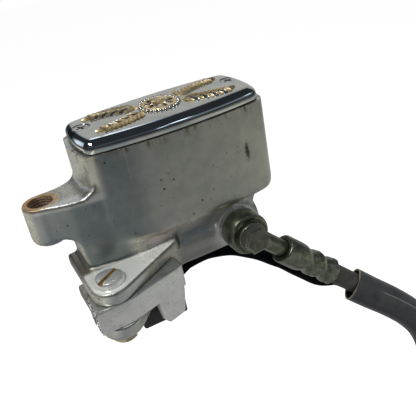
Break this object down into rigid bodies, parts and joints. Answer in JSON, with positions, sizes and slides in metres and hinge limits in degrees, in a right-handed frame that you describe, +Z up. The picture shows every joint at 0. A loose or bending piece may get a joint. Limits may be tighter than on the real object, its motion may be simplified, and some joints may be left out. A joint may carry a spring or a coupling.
{
  "type": "brake master cylinder",
  "caption": "Motorcycle front brake master cylinder with fluid reservoir, handlebar clamp, lever stub, brake light switch, banjo fitting, hose and lead.",
  "frame": {"origin": "centre of the handlebar seat between the body and the clamp cap, on the handlebar's axis, which is where a handlebar holds the part", "axes": "+X along the handlebar towards the middle of the motorcycle, -Y forward, +Z up"},
  "size_m": [0.2303, 0.0939, 0.4373],
  "materials": {
    "cast_aluminium": "polished and brushed, tarnished",
    "chrome": "mirror chrome, worn",
    "gold": "satin gold plate",
    "steel": "plain",
    "black_rubber": "matte",
    "black_plastic": "matte",
    "white_plastic": "matte",
    "black_vinyl": "satin",
    "zinc": "yellow zinc",
    "lever_aluminium": "satin",
    "anodised": "olive zinc plate, worn",
    "spring_steel": "plain",
    "copper": "dull copper",
    "clear_plastic": "clear, aged"
  },
  "bodies": {
    "cylinder": {"master_cylinder_body": "cast_aluminium", "reservoir_cover": "chrome", "cover_badge": "gold", "cover_screw_left": "steel", "cover_screw_right": "steel", "diaphragm": "black_rubber", "diaphragm_plate": "white_plastic", "port_protector": "spring_steel", "sight_glass_seal": "black_rubber", "sight_glass": "clear_plastic", "return_spring": "spring_steel", "piston_washer": "steel", "snap_ring": "spring_steel", "dust_boot": "black_rubber", "pivot_bolt": "chrome", "pivot_nut": "zinc", "brake_light_switch": "black_plastic", "switch_screw": "zinc", "crush_washer_inner": "copper", "crush_washer_outer": "copper", "banjo_fitting": "anodised", "banjo_bolt": "anodised", "crimp_ferrule": "anodised", "clamp_cap": "cast_aluminium", "clamp_bolt_upper": "steel", "clamp_bolt_lower": "steel", "brake_hose": "black_rubber", "hose_coil": "black_rubber", "hose_tail": "black_rubber", "far_ferrule": "anodised", "far_banjo_fitting": "anodised", "coil_tie": "black_plastic", "hose_sleeve": "black_vinyl", "switch_lead": "black_vinyl", "lead_connector": "black_plastic"},
    "lever": {"brake_lever_stub": "lever_aluminium"},
    "piston": {"piston": "steel", "primary_cup": "black_rubber", "secondary_cup": "black_rubber"},
    "switch_plunger": {"switch_plunger": "white_plastic"}
  },
  "joints": [
    {"name": "lever_pivot", "type": "hinge", "parent": "cylinder", "child": "lever", "pos_m": [-0.034, -0.052, 0], "axis": [0, 0, -1], "range_deg": [0, 18], "stiffness_Nm_per_rad": 0.4, "springref_deg": -17.19},
    {"name": "piston_slide", "type": "slide", "parent": "cylinder", "child": "piston", "axis": [1, 0, 0], "range_m": [0, 0.0084], "deforming": ["return_spring", "dust_boot"]},
    {"name": "plunger_slide", "type": "slide", "parent": "cylinder", "child": "switch_plunger", "axis": [0, -1, 0], "range_m": [0, 0.0026]}
  ],
  "couplings": [
    {"joint": "piston_slide", "follows": "lever_pivot", "m_per_rad": 0.0262},
    {"joint": "plunger_slide", "follows": "lever_pivot", "m_per_rad": 0.00796}
  ]
}
